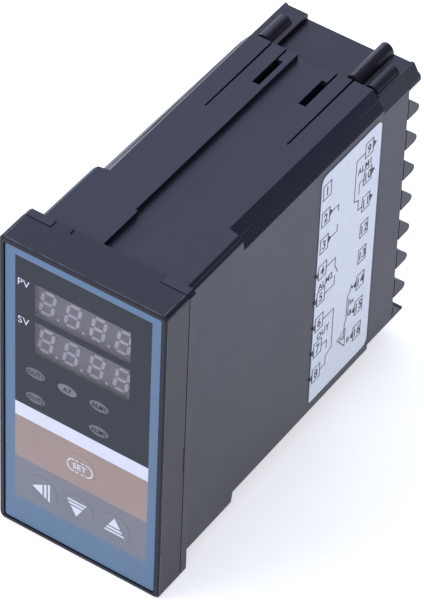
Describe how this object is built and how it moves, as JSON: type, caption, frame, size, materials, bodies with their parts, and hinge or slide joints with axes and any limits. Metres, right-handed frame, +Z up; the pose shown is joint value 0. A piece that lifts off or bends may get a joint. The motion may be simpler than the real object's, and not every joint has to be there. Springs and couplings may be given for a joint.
{
  "type": "panel-mount temperature controller",
  "caption": "Slim black panel-mount process temperature controller: printed face with two displays and press keys, deep moulded sleeve, screw terminals at the rear.",
  "frame": {"origin": "on the resting surface, under the middle of the object's bounding box", "axes": "+Z up, -Y out of the display face, +X to the right as the face is read"},
  "size_m": [0.048, 0.114, 0.096],
  "materials": {
    "black_plastic": "fine spark-eroded satin black ABS",
    "sticker_paper": "white printed sticker",
    "nickel_steel": "nickel-plated steel",
    "dark_moulding": "black glass-filled moulding",
    "printed_film": "matt printed polyester film, blue border with black, white, tan and grey fields",
    "clear_window": "lightly smoked clear acrylic",
    "display_grey": "grey display face with pale segments",
    "lamp_lens": "dark tinted lens",
    "key_cap": "embossed printed film over a moulded cap",
    "switch_metal": "stamped cover",
    "circuit_board": "green solder mask on glass-epoxy board",
    "relay_blue": "blue moulded relay case",
    "transformer_tape": "ferrite core with yellow tape",
    "capacitor_sleeve": "shrink-sleeved aluminium can"
  },
  "bodies": {
    "case": {"case_shell": "black_plastic", "case_label": "sticker_paper", "terminal_block": "black_plastic", "edge_socket_left": "dark_moulding", "edge_socket_right": "dark_moulding", "terminal_screw_01": "nickel_steel", "terminal_screw_02": "nickel_steel", "terminal_screw_03": "nickel_steel", "terminal_screw_04": "nickel_steel", "terminal_screw_05": "nickel_steel", "terminal_screw_06": "nickel_steel", "terminal_screw_07": "nickel_steel", "terminal_screw_08": "nickel_steel", "terminal_screw_09": "nickel_steel", "terminal_screw_10": "nickel_steel", "terminal_screw_11": "nickel_steel", "terminal_screw_12": "nickel_steel", "terminal_screw_13": "nickel_steel", "terminal_screw_14": "nickel_steel", "terminal_screw_15": "nickel_steel", "terminal_screw_16": "nickel_steel"},
    "front_unit": {"bezel_frame": "black_plastic", "board_link_left": "dark_moulding", "board_link_right": "dark_moulding", "microcontroller": "dark_moulding", "front_overlay": "printed_film", "display_window": "clear_window", "led_display_pv": "display_grey", "led_display_sv": "display_grey", "lamp_out1": "lamp_lens", "lamp_at": "lamp_lens", "lamp_alm1": "lamp_lens", "lamp_out2": "lamp_lens", "lamp_alm2": "lamp_lens", "key_switch_set": "switch_metal", "key_switch_left": "switch_metal", "key_switch_down": "switch_metal", "key_switch_up": "switch_metal", "display_board": "circuit_board", "main_board": "circuit_board", "power_board": "circuit_board", "output_relay": "relay_blue", "alarm_relay_1": "relay_blue", "alarm_relay_2": "relay_blue", "transformer": "transformer_tape", "mains_capacitor": "capacitor_sleeve", "output_capacitor": "capacitor_sleeve"},
    "key_set_cap": {"key_set": "key_cap", "switch_stem_set": "dark_moulding"},
    "key_left_cap": {"key_left": "key_cap", "switch_stem_left": "dark_moulding"},
    "key_down_cap": {"key_down": "key_cap", "switch_stem_down": "dark_moulding"},
    "key_up_cap": {"key_up": "key_cap", "switch_stem_up": "dark_moulding"}
  },
  "joints": [
    {"name": "front_unit_draw", "type": "slide", "parent": "case", "child": "front_unit", "axis": [0, -1, 0], "range_m": [0, 0.1]},
    {"name": "key_set_press", "type": "slide", "parent": "front_unit", "child": "key_set_cap", "axis": [0, 1, 0], "range_m": [0, 0.00035], "stiffness_N_per_m": 1500},
    {"name": "key_left_press", "type": "slide", "parent": "front_unit", "child": "key_left_cap", "axis": [0, 1, 0], "range_m": [0, 0.00035], "stiffness_N_per_m": 1500},
    {"name": "key_down_press", "type": "slide", "parent": "front_unit", "child": "key_down_cap", "axis": [0, 1, 0], "range_m": [0, 0.00035], "stiffness_N_per_m": 1500},
    {"name": "key_up_press", "type": "slide", "parent": "front_unit", "child": "key_up_cap", "axis": [0, 1, 0], "range_m": [0, 0.00035], "stiffness_N_per_m": 1500}
  ]
}
